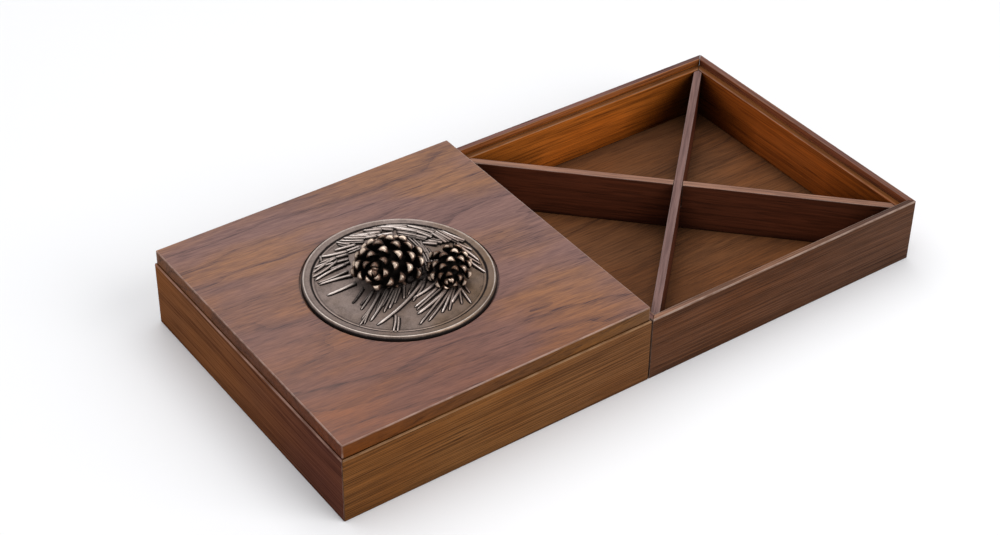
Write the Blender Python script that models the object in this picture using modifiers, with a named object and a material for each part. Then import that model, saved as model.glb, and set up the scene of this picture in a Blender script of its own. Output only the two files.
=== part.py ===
# Two-tier nut box in stained ash: an open divided tray, a closed tray beside it, and a lift-off
# lid that carries a cast medallion with two pine cones and sprays of needles in relief.
# Metres, Z up. The origin is on the floor, midway between the two trays.

import math

import bmesh
import bpy
from mathutils import Euler, Matrix, Vector

# Fits
CLEARANCE = 0.0003          # between pieces that touch
OVERRUN = 0.002             # how far a cutter runs past what it cuts

# Trays
TRAY_SIDE = 0.200
TRAY_HEIGHT = 0.042
WALL_THICKNESS = 0.008
RIM_WIDTH = 0.004           # top land outside the step
STEP_DEPTH = 0.0045         # from the rim down to the ledge
WALL_EDGE_RADIUS = 0.0008
LEDGE_EDGE_RADIUS = 0.0005
BASE_THICKNESS = 0.003
BASE_RECESS = 0.002         # from the floor up to the groove
GROOVE_DEPTH = 0.004
DIVIDER_THICKNESS = 0.005
DIVIDER_DROP = 0.0005       # divider tops lie this far under the ledge
DIVIDER_EDGE_RADIUS = 0.0004

# Lid
LID_THICKNESS = 0.009
LID_INSET = 0.001           # lid edge inside the tray's outer face
LID_EDGE_RADIUS = 0.0007
BATTEN_WIDTH = 0.012
BATTEN_THICKNESS = 0.004
BATTEN_FIT = 0.0005         # battens inside the tray's step
BATTEN_EDGE_RADIUS = 0.0004

# Medallion plate
PLATE_RADIUS = 0.055
PLATE_BORDER_WIDTH = 0.0045
PLATE_BORDER_HEIGHT = 0.0030
PLATE_FIELD_HEIGHT = 0.0021
PLATE_EDGE_RADIUS = 0.0006
PLATE_BEAD_WIDTH = 0.0009
POCKET_DEPTH = 0.0012
POCKET_FIT = 0.0005
PLATE_SEGMENTS = 64

# Needles in relief on the plate
NEEDLE_ROOT_RADIUS = 0.0012
NEEDLE_TIP_RADIUS = 0.0006
NEEDLE_SINK = 0.0002        # needle axis below the field
NEEDLE_SIDES = 6
# Root x, root y, tip x, tip y of each needle as shares of the field's radius from its centre
NEEDLE_SHARES = (
    (-0.44, 0.165, -0.86, 0.165), (-0.42, 0.30, -0.835, 0.375), (-0.38, 0.415, -0.80, 0.410),
    (-0.38, 0.50, -0.87, 0.465), (-0.38, 0.64, -0.80, 0.535), (-0.36, 0.575, -0.62, 0.60),
    (-0.46, 0.72, -0.80, 0.63), (-0.56, 0.70, -0.78, 0.70), (-0.48, 0.85, -0.70, 0.755),
    (-0.24, 0.72, -0.57, 0.79), (-0.26, 0.63, -0.45, 0.68), (-0.12, 0.75, -0.30, 0.79),
    (-0.21, 0.85, -0.28, 0.94), (-0.14, 0.87, -0.22, 0.955), (0.03, 0.80, -0.17, 0.955),
    (0.15, 0.79, -0.06, 0.92), (0.22, 0.80, 0.00, 0.94), (0.26, 0.82, 0.03, 0.88),
    (0.30, 0.76, 0.14, 0.95), (0.38, 0.70, 0.24, 0.93), (0.60, 0.60, 0.33, 0.92),
    (0.67, 0.38, 0.50, 0.75), (0.71, 0.46, 0.56, 0.80), (0.77, 0.28, 0.69, 0.63),
    (0.81, 0.24, 0.75, 0.58), (0.93, 0.16, 0.87, 0.45), (0.60, 0.36, 0.48, 0.50),
    (0.54, 0.48, 0.40, 0.80), (0.58, 0.30, 0.42, 0.62), (0.74, 0.20, 0.62, 0.50),
    (0.70, 0.22, 0.60, 0.28), (0.84, 0.20, 0.84, 0.44), (0.80, 0.06, 0.90, 0.16),
    (0.82, 0.00, 0.94, -0.08), (0.80, -0.04, 0.92, -0.24), (0.78, -0.08, 0.86, -0.245),
    (0.76, -0.20, 0.81, -0.49), (0.74, -0.24, 0.76, -0.42), (-0.46, 0.02, -0.69, -0.11),
    (-0.40, -0.02, -0.62, -0.18), (-0.44, -0.08, -0.86, -0.48), (-0.40, -0.12, -0.81, -0.45),
    (-0.38, -0.06, -0.74, -0.355), (-0.30, -0.14, -0.69, -0.465), (-0.26, -0.16, -0.49, -0.42),
    (-0.20, -0.20, -0.42, -0.395), (-0.12, -0.22, -0.34, -0.45), (0.08, -0.27, -0.69, -0.565),
    (-0.02, -0.24, -0.20, -0.36), (-0.42, -0.57, -0.58, -0.79), (-0.42, -0.54, -0.64, -0.775),
    (0.24, -0.33, -0.09, -0.39), (0.24, -0.38, -0.19, -0.525), (0.30, -0.46, -0.21, -0.645),
    (0.30, -0.51, -0.28, -0.82), (0.31, -0.53, -0.17, -0.815), (0.33, -0.54, 0.02, -0.775),
    (0.33, -0.57, 0.10, -0.81), (0.40, -0.56, 0.20, -0.70), (0.42, -0.56, 0.29, -0.78),
    (0.44, -0.50, 0.365, -0.82), (0.50, -0.50, 0.48, -0.66),
)

# Pine cones; each has a plump core, scales along a golden-angle spiral, and a foot
CONE_UNDERSIDE = 0.0016     # above the field, so that the needles pass beneath
CONE_GAP = 0.0004           # between the two cones
GOLDEN_ANGLE = math.radians(137.508)
CORE_SEGMENTS = 18
CORE_RINGS = 10
FOOT_SEGMENTS = 24
LARGE_CONE = {
    "radius": 0.0118,       # core, across its axis
    "half_length": 0.0179,  # core, along its axis
    "axis_height": 0.0018,  # core centre above the field
    "heading": math.radians(212.0),         # way the tip points, about +X
    "tilt": math.radians(32.0),             # tip above level
    "scales": 62,
    "scale_length": 0.0148,
    "scale_width": 0.0066,
    "scale_thickness": 0.0034,
    "foot_radius": 0.0140,
    "foot_height": 0.0028,  # top of the foot above the field
}
SMALL_CONE = {
    "radius": 0.0074,
    "half_length": 0.0138,
    "axis_height": 0.0032,
    "heading": math.radians(238.0),
    "tilt": math.radians(13.0),
    "scales": 46,
    "scale_length": 0.0099,
    "scale_width": 0.0054,
    "scale_thickness": 0.0026,
    "foot_radius": 0.0085,
    "foot_height": 0.0026,
}
LARGE_CONE_X = -0.0027                     # from the plate's centre
LARGE_CONE_Y = 0.0055
SMALL_CONE_BEARING = math.radians(-33.8)   # of the small cone from the large one, about +X
SCALE_LIFT = math.radians(55.0)            # scale above the core's surface
SCALE_SEAT_SHARE = 0.24                    # of a scale's length, sunk in the core
SCALE_KEEP_SHARE = 0.45                    # of its length; where that lies too low it is left out
SCALE_TAPER_SHARE = 0.66                   # tip scale size against the largest
SCALE_SPREAD_SHARE = 0.80                  # of a half turn from tip to stem that bears scales
SCALE_CUP_SHARE = 0.30                     # rise of a scale's sides against its width
SCALE_CURL_SHARE = 0.20                    # rise of its free end against its length
# Place along a scale, half width and half thickness of its sections, as shares of its sizes
SCALE_SECTION_SHARES = (
    (0.00, 0.17, 0.40), (0.42, 0.33, 0.26), (0.78, 0.50, 0.36), (0.93, 0.44, 0.50),
    (1.00, 0.24, 0.36),
)
# Places round a section, as shares of a full turn
SCALE_RIM_SHARES = (0.0, 0.17, 0.33, 0.5, 0.67, 0.83)

# Side of the middle on which each tray stands, about +X
TRAY_SIDES = {"upper_tray": -1, "lower_tray": 1}

# Places worked out from the sizes above
TRAY_OFFSET = (TRAY_SIDE + CLEARANCE) / 2
LEDGE_HEIGHT = TRAY_HEIGHT - STEP_DEPTH
INNER_HALF = TRAY_SIDE / 2 - WALL_THICKNESS
GROOVE_TOP = BASE_RECESS + BASE_THICKNESS + 2 * CLEARANCE
BASE_TOP = BASE_RECESS + CLEARANCE + BASE_THICKNESS
LID_BOTTOM = TRAY_HEIGHT + CLEARANCE
LID_TOP = LID_BOTTOM + LID_THICKNESS
PLATE_BOTTOM = LID_TOP - POCKET_DEPTH + CLEARANCE
FIELD_HEIGHT = PLATE_BOTTOM + PLATE_FIELD_HEIGHT
FIELD_RADIUS = PLATE_RADIUS - PLATE_BORDER_WIDTH


# Scene and materials

def clear_scene():
    for old in list(bpy.data.objects):
        bpy.data.objects.remove(old, do_unlink=True)


def new_collection(name):
    group = bpy.data.collections.new(name)
    bpy.context.scene.collection.children.link(group)
    return group


def new_material(name, colour, roughness, metallic=0.0):
    material = bpy.data.materials.new(name)
    material.use_nodes = True
    shader = material.node_tree.nodes["Principled BSDF"]
    shader.inputs["Base Color"].default_value = (*colour, 1.0)
    shader.inputs["Roughness"].default_value = roughness
    shader.inputs["Metallic"].default_value = metallic
    return material


def new_frame(name, location, parent=None):
    frame = bpy.data.objects.new(name, None)
    frame.empty_display_size = WALL_THICKNESS
    PARTS.objects.link(frame)
    frame.parent = parent
    frame.location = location
    return frame


def new_piece(name, mesh, material, parent):
    piece = bpy.data.objects.new(name, mesh)
    PARTS.objects.link(piece)
    piece.parent = parent
    mesh.materials.clear()
    mesh.materials.append(material)
    return piece


def new_cutter(name, mesh, parent):
    cutter = bpy.data.objects.new(name, mesh)
    CUTTERS.objects.link(cutter)
    cutter.parent = parent
    cutter.hide_render = True
    cutter.display_type = "WIRE"
    return cutter


def add_boolean(piece, operation, cutter, self_crossing=False):
    step = piece.modifiers.new(operation.title(), "BOOLEAN")
    step.operation = operation
    step.solver = "EXACT"
    step.object = cutter
    step.use_self = self_crossing
    return step


def add_bevel(piece, width, segments=2):
    step = piece.modifiers.new("Bevel", "BEVEL")
    step.width = width
    step.segments = segments
    step.limit_method = "ANGLE"
    step.angle_limit = math.radians(40)
    return step


# Meshes

def box_mesh(name, low, high):
    """A cube stretched between two corners."""
    shape = bmesh.new()
    bmesh.ops.create_cube(shape, size=1)
    size = Vector(high) - Vector(low)
    middle = (Vector(high) + Vector(low)) / 2
    bmesh.ops.transform(shape, verts=shape.verts,
                        matrix=Matrix.Translation(middle) @ Matrix.Diagonal((*size, 1)))
    return finish_mesh(name, shape)


def finish_mesh(name, shape):
    mesh = bpy.data.meshes.new(name)
    shape.to_mesh(mesh)
    shape.free()
    return mesh


def rounded_outline(corners, steps=2):
    """Corners are (x, y, radius); each rounded one becomes an arc of a few points."""
    points = []
    for index, (x, y, radius) in enumerate(corners):
        here = Vector((x, y))
        before = Vector(corners[index - 1][:2]) - here
        after = Vector(corners[(index + 1) % len(corners)][:2]) - here
        if radius == 0:
            points.append(here)
            continue
        half_angle = before.angle(after) / 2
        along = radius / math.tan(half_angle)
        start = here + before.normalized() * along
        end = here + after.normalized() * along
        middle = (before.normalized() + after.normalized()).normalized()
        centre = here + middle * (radius / math.sin(half_angle))
        first = start - centre
        turn = first.angle_signed(end - centre)
        for step in range(steps + 1):
            spoke = first.copy()
            spoke.rotate(Matrix.Rotation(-turn * step / steps, 2))
            points.append(centre + spoke)
    return points


def extruded_mesh(name, outline, length):
    """A flat filled curve with thickness, made a welded mesh centred on its own plane."""
    curve = bpy.data.curves.new(name, "CURVE")
    curve.dimensions = "2D"
    curve.fill_mode = "BOTH"
    curve.extrude = length / 2
    line = curve.splines.new("POLY")
    line.points.add(len(outline) - 1)
    for point, place in zip(line.points, outline):
        point.co = (place.x, place.y, 0, 1)
    line.use_cyclic_u = True
    holder = bpy.data.objects.new(name, curve)
    CUTTERS.objects.link(holder)
    evaluated = holder.evaluated_get(bpy.context.evaluated_depsgraph_get())
    mesh = bpy.data.meshes.new_from_object(evaluated)
    bpy.data.objects.remove(holder, do_unlink=True)
    bpy.data.curves.remove(curve)
    shape = bmesh.new()
    shape.from_mesh(mesh)
    bmesh.ops.remove_doubles(shape, verts=shape.verts, dist=CLEARANCE / 100)
    bmesh.ops.dissolve_limit(shape, angle_limit=math.radians(0.5), verts=shape.verts,
                             edges=shape.edges)
    shape.to_mesh(mesh)
    shape.free()
    mesh.name = name
    return mesh


def slice_off(shape, point, normal):
    """Cuts away what lies beyond a plane and closes the cut."""
    everything = shape.verts[:] + shape.edges[:] + shape.faces[:]
    cut = bmesh.ops.bisect_plane(shape, geom=everything, dist=CLEARANCE / 1000, plane_co=point,
                                 plane_no=normal, clear_outer=True)
    rim = [item for item in cut["geom_cut"] if isinstance(item, bmesh.types.BMEdge)]
    bmesh.ops.edgeloop_fill(shape, edges=[edge for edge in rim if edge.is_boundary])


def mitred_mesh(name, outline, half_span, edge_radius):
    """A moulding along X with its outer face at y = -half_span, mitred at both ends.

    The outline's x runs inwards from the outer face and its y runs up. The sharp outer corners
    are eased by facets that touch an arc of edge_radius.
    """
    mesh = extruded_mesh(name, outline, 2 * half_span)
    shape = bmesh.new()
    shape.from_mesh(mesh)
    turned = Matrix(((0, 0, 1, 0), (1, 0, 0, 0), (0, 1, 0, 0), (0, 0, 0, 1)))
    bmesh.ops.transform(shape, verts=shape.verts,
                        matrix=Matrix.Translation((0, -half_span, 0)) @ turned)
    for side in (-1, 1):
        mitre = Vector((side, 1, 0)).normalized()
        slice_off(shape, -mitre * (CLEARANCE / 2), mitre)
        arc_centre = Vector((side * (half_span - edge_radius), edge_radius - half_span, 0))
        for facet in (1, 3):
            angle = math.radians(45) * facet / 4
            normal = Vector((side * math.sin(angle), -math.cos(angle), 0))
            slice_off(shape, arc_centre + normal * edge_radius, normal)
    shape.to_mesh(mesh)
    shape.free()
    return mesh


# Trays

def wall_outline():
    """Section of a tray wall: stepped at the top, grooved for the base panel."""
    groove_face = WALL_THICKNESS - GROOVE_DEPTH
    return rounded_outline([
        (0, 0, LEDGE_EDGE_RADIUS),
        (WALL_THICKNESS, 0, 0),
        (WALL_THICKNESS, BASE_RECESS, 0),
        (groove_face, BASE_RECESS, 0),
        (groove_face, GROOVE_TOP, 0),
        (WALL_THICKNESS, GROOVE_TOP, 0),
        (WALL_THICKNESS, LEDGE_HEIGHT, LEDGE_EDGE_RADIUS),
        (RIM_WIDTH, LEDGE_HEIGHT, 0),
        (RIM_WIDTH, TRAY_HEIGHT, LEDGE_EDGE_RADIUS),
        (0, TRAY_HEIGHT, WALL_EDGE_RADIUS),
    ])


def divider_mesh(name, slot_from_top):
    """A board on the diagonal whose pointed ends fill the tray's corners."""
    half = DIVIDER_THICKNESS / 2
    tip = (INNER_HALF - CLEARANCE) * math.sqrt(2)
    shoulder = tip - half
    plan = [Vector(place) for place in ((-tip, 0), (-shoulder, -half), (shoulder, -half),
                                        (tip, 0), (shoulder, half), (-shoulder, half))]
    bottom = BASE_TOP + CLEARANCE
    top = LEDGE_HEIGHT - DIVIDER_DROP
    mesh = extruded_mesh(name, plan, top - bottom)
    mesh.transform(Matrix.Translation((0, 0, (top + bottom) / 2)))
    middle = (top + bottom) / 2
    slot = half + CLEARANCE
    if slot_from_top:
        low, high = middle - CLEARANCE / 2, top + OVERRUN
    else:
        low, high = bottom - OVERRUN, middle + CLEARANCE / 2
    reach = half + OVERRUN
    return mesh, box_mesh(name + "_slot", (-slot, -reach, low), (slot, reach, high))


def build_tray(tray):
    frame = new_frame(tray + "_frame", (TRAY_SIDES[tray] * TRAY_OFFSET, 0, 0))
    outline = wall_outline()
    for turn, place in enumerate(("front", "right", "back", "left")):
        name = tray + "_" + place + "_wall"
        mesh = mitred_mesh(name, outline, TRAY_SIDE / 2, WALL_EDGE_RADIUS)
        wall = new_piece(name, mesh, WALL_WOOD, frame)
        wall.rotation_euler = (0, 0, math.radians(90) * turn)
    reach = INNER_HALF + GROOVE_DEPTH - CLEARANCE
    base = box_mesh(tray + "_base", (-reach, -reach, BASE_RECESS + CLEARANCE),
                    (reach, reach, BASE_TOP))
    new_piece(tray + "_base", base, BASE_WOOD, frame)
    for turn, slot_from_top in ((1, False), (3, True)):
        name = tray + ("_cross_divider" if slot_from_top else "_long_divider")
        mesh, slot = divider_mesh(name, slot_from_top)
        board = new_piece(name, mesh, DIVIDER_WOOD, frame)
        board.rotation_euler = (0, 0, math.radians(45) * turn)
        cutter = new_cutter(name + "_slot", slot, frame)
        cutter.rotation_euler = board.rotation_euler
        add_boolean(board, "DIFFERENCE", cutter)
        add_bevel(board, DIVIDER_EDGE_RADIUS)
    return frame


# Lid

def build_lid(tray_frame):
    frame = new_frame("lid_frame", (0, 0, LID_BOTTOM), tray_frame)
    reach = TRAY_SIDE / 2 - LID_INSET
    panel = new_piece("lid_panel", box_mesh("lid_panel", (-reach, -reach, 0),
                                            (reach, reach, LID_THICKNESS)), LID_WOOD, frame)
    add_bevel(panel, LID_EDGE_RADIUS)
    shape = bmesh.new()
    bmesh.ops.create_cone(shape, segments=PLATE_SEGMENTS, cap_ends=True,
                          radius1=PLATE_RADIUS + POCKET_FIT, radius2=PLATE_RADIUS + POCKET_FIT,
                          depth=POCKET_DEPTH + OVERRUN)
    pocket = new_cutter("lid_pocket", finish_mesh("lid_pocket", shape), frame)
    pocket.location.z = LID_THICKNESS - POCKET_DEPTH + (POCKET_DEPTH + OVERRUN) / 2
    add_boolean(panel, "DIFFERENCE", pocket)
    outline = rounded_outline([
        (0, 0, BATTEN_EDGE_RADIUS), (BATTEN_WIDTH, 0, BATTEN_EDGE_RADIUS),
        (BATTEN_WIDTH, BATTEN_THICKNESS, 0), (0, BATTEN_THICKNESS, 0)])
    half_span = TRAY_SIDE / 2 - RIM_WIDTH - BATTEN_FIT
    for turn, place in enumerate(("front", "right", "back", "left")):
        name = "lid_" + place + "_batten"
        mesh = mitred_mesh(name, outline, half_span, BATTEN_EDGE_RADIUS)
        batten = new_piece(name, mesh, DIVIDER_WOOD, frame)
        batten.location.z = -CLEARANCE - BATTEN_THICKNESS
        batten.rotation_euler = (0, 0, math.radians(90) * turn)
    return frame


# Medallion

def turned_mesh(name, profile, segments):
    """A profile of (radius, height) points, top to bottom, spun about Z by a Screw modifier."""
    shape = bmesh.new()
    points = [shape.verts.new((radius, 0, height)) for radius, height in profile]
    for first, second in zip(points, points[1:]):
        shape.edges.new((first, second))
    holder = bpy.data.objects.new(name, finish_mesh(name, shape))
    CUTTERS.objects.link(holder)
    step = holder.modifiers.new("Screw", "SCREW")
    step.steps = segments
    step.render_steps = segments
    step.use_merge_vertices = True
    step.merge_threshold = CLEARANCE / 10
    evaluated = holder.evaluated_get(bpy.context.evaluated_depsgraph_get())
    mesh = bpy.data.meshes.new_from_object(evaluated)
    bpy.data.objects.remove(holder, do_unlink=True)
    mesh.name = name
    return mesh


def plate_profile():
    """Flat field, a bead, and a raised border with an eased outer edge."""
    bead = PLATE_BEAD_WIDTH
    top = PLATE_BORDER_HEIGHT
    ease = PLATE_EDGE_RADIUS
    return [
        (0, PLATE_FIELD_HEIGHT),
        (FIELD_RADIUS, PLATE_FIELD_HEIGHT),
        (FIELD_RADIUS + bead / 3, top - bead / 6),
        (FIELD_RADIUS + bead * 2 / 3, top - bead / 6),
        (FIELD_RADIUS + bead, top - bead / 2),
        (FIELD_RADIUS + bead * 4 / 3, top),
        (PLATE_RADIUS - ease, top),
        (PLATE_RADIUS - ease * 0.3, top - ease * 0.3),
        (PLATE_RADIUS, top - ease),
        (PLATE_RADIUS, 0),
        (0, 0),
    ]


def needle_run(shares, feet):
    """Ends of a needle on the field, with its root kept clear of the cones' feet."""
    root = Vector(shares[:2]) * FIELD_RADIUS
    tip = Vector(shares[2:]) * FIELD_RADIUS
    for centre, radius in feet:
        keep = radius + NEEDLE_ROOT_RADIUS + CLEARANCE
        away = root - centre
        along = (tip - root).normalized()
        if away.length < keep:
            offset = away.dot(along)
            root = root + along * (math.sqrt(offset ** 2 - away.length ** 2 + keep ** 2) - offset)
    return root, tip


def needles_mesh(feet):
    """Tapered needles lying a little more than half sunk in the field."""
    shape = bmesh.new()
    for shares in NEEDLE_SHARES:
        root, tip = needle_run(shares, feet)
        run = tip - root
        turn = Matrix.Rotation(math.atan2(run.y, run.x), 4, "Z") @ Matrix.Rotation(
            math.radians(90), 4, "Y")
        middle = ((root + tip) / 2).to_3d()
        middle.z = PLATE_FIELD_HEIGHT - NEEDLE_SINK
        bmesh.ops.create_cone(shape, segments=NEEDLE_SIDES, cap_ends=True,
                              radius1=NEEDLE_ROOT_RADIUS, radius2=NEEDLE_TIP_RADIUS,
                              depth=run.length, matrix=Matrix.Translation(middle) @ turn)
    return finish_mesh("needles", shape)


def scale_form(cone):
    """One scale along +X from its root: a cupped plate with a thick round end, +Z to the tip."""
    shape = bmesh.new()
    rings = []
    for along, half_width, half_thickness in SCALE_SECTION_SHARES:
        ring = []
        for turn in SCALE_RIM_SHARES:
            angle = 2 * math.pi * turn
            side = math.cos(angle) * half_width * cone["scale_width"]
            cup = SCALE_CUP_SHARE * cone["scale_width"] * (math.cos(angle) * half_width * 2) ** 2
            curl = SCALE_CURL_SHARE * cone["scale_length"] * along ** 2
            face = math.sin(angle) * half_thickness * cone["scale_thickness"]
            ring.append(shape.verts.new((along * cone["scale_length"], side, face + cup + curl)))
        rings.append(ring)
    count = len(SCALE_RIM_SHARES)
    for first, second in zip(rings, rings[1:]):
        for index in range(count):
            after = (index + 1) % count
            shape.faces.new((first[index], first[after], second[after], second[index]))
    shape.faces.new(rings[0])
    shape.faces.new(rings[-1][::-1])
    bmesh.ops.recalc_face_normals(shape, faces=shape.faces)
    bmesh.ops.triangulate(shape, faces=shape.faces)
    return finish_mesh("scale_form", shape)


def cone_stance(cone):
    return Euler((0, math.radians(90) - cone["tilt"], cone["heading"]), "XYZ").to_matrix()


def scales_mesh(name, cone):
    """Scales on the core, an ovoid about Z with its tip up, already turned to its stance.

    A scale is left out where the underside would cut it short of its middle, or would cut away
    the seat that joins it to the core.
    """
    shape = bmesh.new()
    form = scale_form(cone)
    stance = cone_stance(cone)
    lowest = CONE_UNDERSIDE - cone["axis_height"]
    count = cone["scales"]
    span = math.pi * SCALE_SPREAD_SHARE
    for index in range(count):
        grown = (index + 0.5) / count
        polar = math.acos(1 - grown * (1 - math.cos(span)))
        around = index * GOLDEN_ANGLE
        spoke = Vector((math.cos(around), math.sin(around), 0))
        seat = spoke * (cone["radius"] * math.sin(polar))
        seat.z = cone["half_length"] * math.cos(polar)
        outward = (spoke * (math.sin(polar) / cone["radius"])
                   + Vector((0, 0, math.cos(polar) / cone["half_length"]))).normalized()
        across = Vector((0, 0, 1)).cross(spoke)
        tipward = outward.cross(across)
        if tipward.z < 0:
            tipward.negate()
        along = outward * math.sin(SCALE_LIFT) + tipward * math.cos(SCALE_LIFT)
        size = SCALE_TAPER_SHARE + (1 - SCALE_TAPER_SHARE) * min(1, grown * 3)
        root = seat - along * (cone["scale_length"] * size * SCALE_SEAT_SHARE)
        middle = root + along * (cone["scale_length"] * size * SCALE_KEEP_SHARE)
        rooted = lowest + cone["scale_thickness"] * size / 2
        if (stance @ middle).z < lowest or (stance @ seat).z < rooted:
            continue
        turn = Matrix((along, across, along.cross(across))).transposed().to_4x4()
        fresh = len(shape.verts)
        shape.from_mesh(form)
        shape.verts.ensure_lookup_table()
        bmesh.ops.transform(shape, verts=shape.verts[fresh:],
                            matrix=Matrix.Translation(root) @ turn @ Matrix.Scale(size, 4))
    bpy.data.meshes.remove(form)
    bmesh.ops.transform(shape, verts=shape.verts, matrix=stance.to_4x4())
    return finish_mesh(name, shape)


def core_mesh(name, cone):
    shape = bmesh.new()
    bmesh.ops.create_uvsphere(shape, u_segments=CORE_SEGMENTS, v_segments=CORE_RINGS, radius=1,
                              matrix=cone_stance(cone).to_4x4() @ Matrix.Diagonal(
                                  (cone["radius"], cone["radius"], cone["half_length"], 1)))
    return finish_mesh(name, shape)


def reach_towards(meshes, foot_radius, bearing):
    """How far a cone's pieces and its foot reach from its middle in a level direction."""
    way = Vector((math.cos(bearing), math.sin(bearing), 0))
    return max([foot_radius] + [way.dot(point.co) for mesh in meshes for point in mesh.vertices])


def build_cone(name, cone, core, scales, place, frame):
    field = FIELD_HEIGHT - LID_BOTTOM
    piece = new_piece(name, core, CAST_METAL, frame)
    piece.location = (place.x, place.y, field + cone["axis_height"])
    grown = new_cutter(name + "_scales", scales, frame)
    grown.location = piece.location
    add_boolean(piece, "UNION", grown, self_crossing=True)
    reach = cone["half_length"] + cone["scale_length"] + OVERRUN
    below = new_cutter(name + "_underside",
                       box_mesh(name + "_underside", (-reach, -reach, -2 * reach),
                                (reach, reach, 0)), frame)
    below.location = (place.x, place.y, field + CONE_UNDERSIDE)
    add_boolean(piece, "DIFFERENCE", below, self_crossing=True)
    shape = bmesh.new()
    height = cone["foot_height"] - CLEARANCE
    bmesh.ops.create_cone(shape, segments=FOOT_SEGMENTS, cap_ends=True, radius1=cone["foot_radius"],
                          radius2=cone["foot_radius"], depth=height)
    foot = new_cutter(name + "_foot", finish_mesh(name + "_foot", shape), frame)
    foot.location = (place.x, place.y, field + CLEARANCE + height / 2)
    add_boolean(piece, "UNION", foot, self_crossing=True)
    return piece


def build_medallion(frame):
    """The plate with its needles, and the two cones, the small one a gap away from the large."""
    cones = {"large_pine_cone": LARGE_CONE, "small_pine_cone": SMALL_CONE}
    meshes = {name: (core_mesh(name, cone), scales_mesh(name + "_scales", cone))
              for name, cone in cones.items()}
    apart = CONE_GAP
    for (name, cone), turn in zip(cones.items(), (0, math.pi)):
        apart += reach_towards(meshes[name], cone["foot_radius"], SMALL_CONE_BEARING + turn)
    large = Vector((LARGE_CONE_X, LARGE_CONE_Y))
    small = large + Vector((math.cos(SMALL_CONE_BEARING), math.sin(SMALL_CONE_BEARING))) * apart
    places = {"large_pine_cone": large, "small_pine_cone": small}
    plate = new_piece("medallion_plate",
                      turned_mesh("medallion_plate", plate_profile(), PLATE_SEGMENTS),
                      CAST_METAL, frame)
    plate.location.z = PLATE_BOTTOM - LID_BOTTOM
    feet = [(places[name], cone["foot_radius"]) for name, cone in cones.items()]
    needles = new_cutter("needles", needles_mesh(feet), frame)
    needles.location = plate.location
    add_boolean(plate, "UNION", needles, self_crossing=True)
    for name, cone in cones.items():
        build_cone(name, cone, *meshes[name], places[name], frame)


clear_scene()
PARTS = new_collection("nut_box")
CUTTERS = new_collection("nut_box_cutters")
WALL_WOOD = new_material("stained_ash_wall", (0.115, 0.050, 0.022), 0.42)
LID_WOOD = new_material("stained_ash_lid", (0.200, 0.105, 0.075), 0.38)
BASE_WOOD = new_material("stained_ash_base", (0.120, 0.058, 0.028), 0.50)
DIVIDER_WOOD = new_material("stained_ash_divider", (0.085, 0.040, 0.028), 0.45)
CAST_METAL = new_material("antique_bronze", (0.230, 0.190, 0.160), 0.38, 0.85)
build_tray("lower_tray")
build_medallion(build_lid(build_tray("upper_tray")))
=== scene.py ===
# Looks of the two-tier nut box: stained ash boards, a finer cast medallion, floor, light, camera.
import math

import bpy
import numpy as np
from mathutils import Matrix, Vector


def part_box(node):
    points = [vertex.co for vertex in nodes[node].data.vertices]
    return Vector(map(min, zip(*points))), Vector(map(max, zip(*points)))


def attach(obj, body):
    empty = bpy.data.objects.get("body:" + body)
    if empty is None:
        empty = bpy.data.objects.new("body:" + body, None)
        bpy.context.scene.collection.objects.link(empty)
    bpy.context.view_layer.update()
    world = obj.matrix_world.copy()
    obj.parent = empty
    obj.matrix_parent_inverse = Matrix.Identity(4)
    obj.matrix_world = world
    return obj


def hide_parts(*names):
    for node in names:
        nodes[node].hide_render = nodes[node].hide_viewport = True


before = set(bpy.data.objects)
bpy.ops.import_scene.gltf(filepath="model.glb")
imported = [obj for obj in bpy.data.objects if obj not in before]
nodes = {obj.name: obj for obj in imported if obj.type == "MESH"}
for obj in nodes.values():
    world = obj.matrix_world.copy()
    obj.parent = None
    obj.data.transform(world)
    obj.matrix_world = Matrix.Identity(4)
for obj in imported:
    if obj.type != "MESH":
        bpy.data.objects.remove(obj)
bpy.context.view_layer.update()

# Lengths are in metres and angles in degrees unless a comment says otherwise.

scene = bpy.context.scene
upward = np.array((0, 0, 1.0))
print("frame loaded:", len(nodes), "nodes")


def addObject(name, data):
    fresh = bpy.data.objects.new(name, data)
    scene.collection.objects.link(fresh)
    return fresh


def aim(thing, place, back, right):
    # The thing's own Z points back and its X right.
    stance = np.eye(4)
    stance[:3] = np.column_stack((right, np.cross(back, right), back, place))
    thing.matrix_world = Matrix(stance.tolist())


# Camera

cameraSettings = {
    "lens": 74.7,  # mm
    "place": (-0.58787, -0.76848, 0.75459),
    "azimuth": -35.907, "elevation": 37.398, "roll": 0.931,
    "filmWidth": 36,  # mm
    "clipEnd": 30,
}


def makeCamera(settings):
    # A level frame from azimuth and elevation, turned about the view axis by the roll.
    azimuth, elevation, roll = (math.radians(settings[k]) for k in ("azimuth", "elevation", "roll"))
    back = np.array((math.sin(azimuth) * math.cos(elevation),
                     -math.cos(azimuth) * math.cos(elevation), math.sin(elevation)))
    level = np.array((math.cos(azimuth), math.sin(azimuth), 0))
    right = level * math.cos(roll) + np.cross(back, level) * math.sin(roll)
    data = bpy.data.cameras.new("photoView")
    data.lens = settings["lens"]
    data.sensor_width = settings["filmWidth"]
    data.clip_end = settings["clipEnd"]
    camera = addObject("photoView", data)
    aim(camera, settings["place"], back, right)
    scene.camera = camera


makeCamera(cameraSettings)
print("camera set")


# Helpers for shader trees

def feed(tree, socket, value):
    if isinstance(value, bpy.types.NodeSocket):
        tree.links.new(value, socket)
    else:
        socket.default_value = value


def feedAll(tree, sockets, values):
    for name, value in values.items():
        feed(tree, sockets[name], value)


def add(tree, kind, feeds=None, **settings):
    # One shader node: settings are its own values, feeds are its sockets by name or number.
    fresh = tree.nodes.new("ShaderNode" + kind)
    for name, value in settings.items():
        setattr(fresh, name, value)
    feedAll(tree, fresh.inputs, feeds or {})
    return fresh


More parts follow.
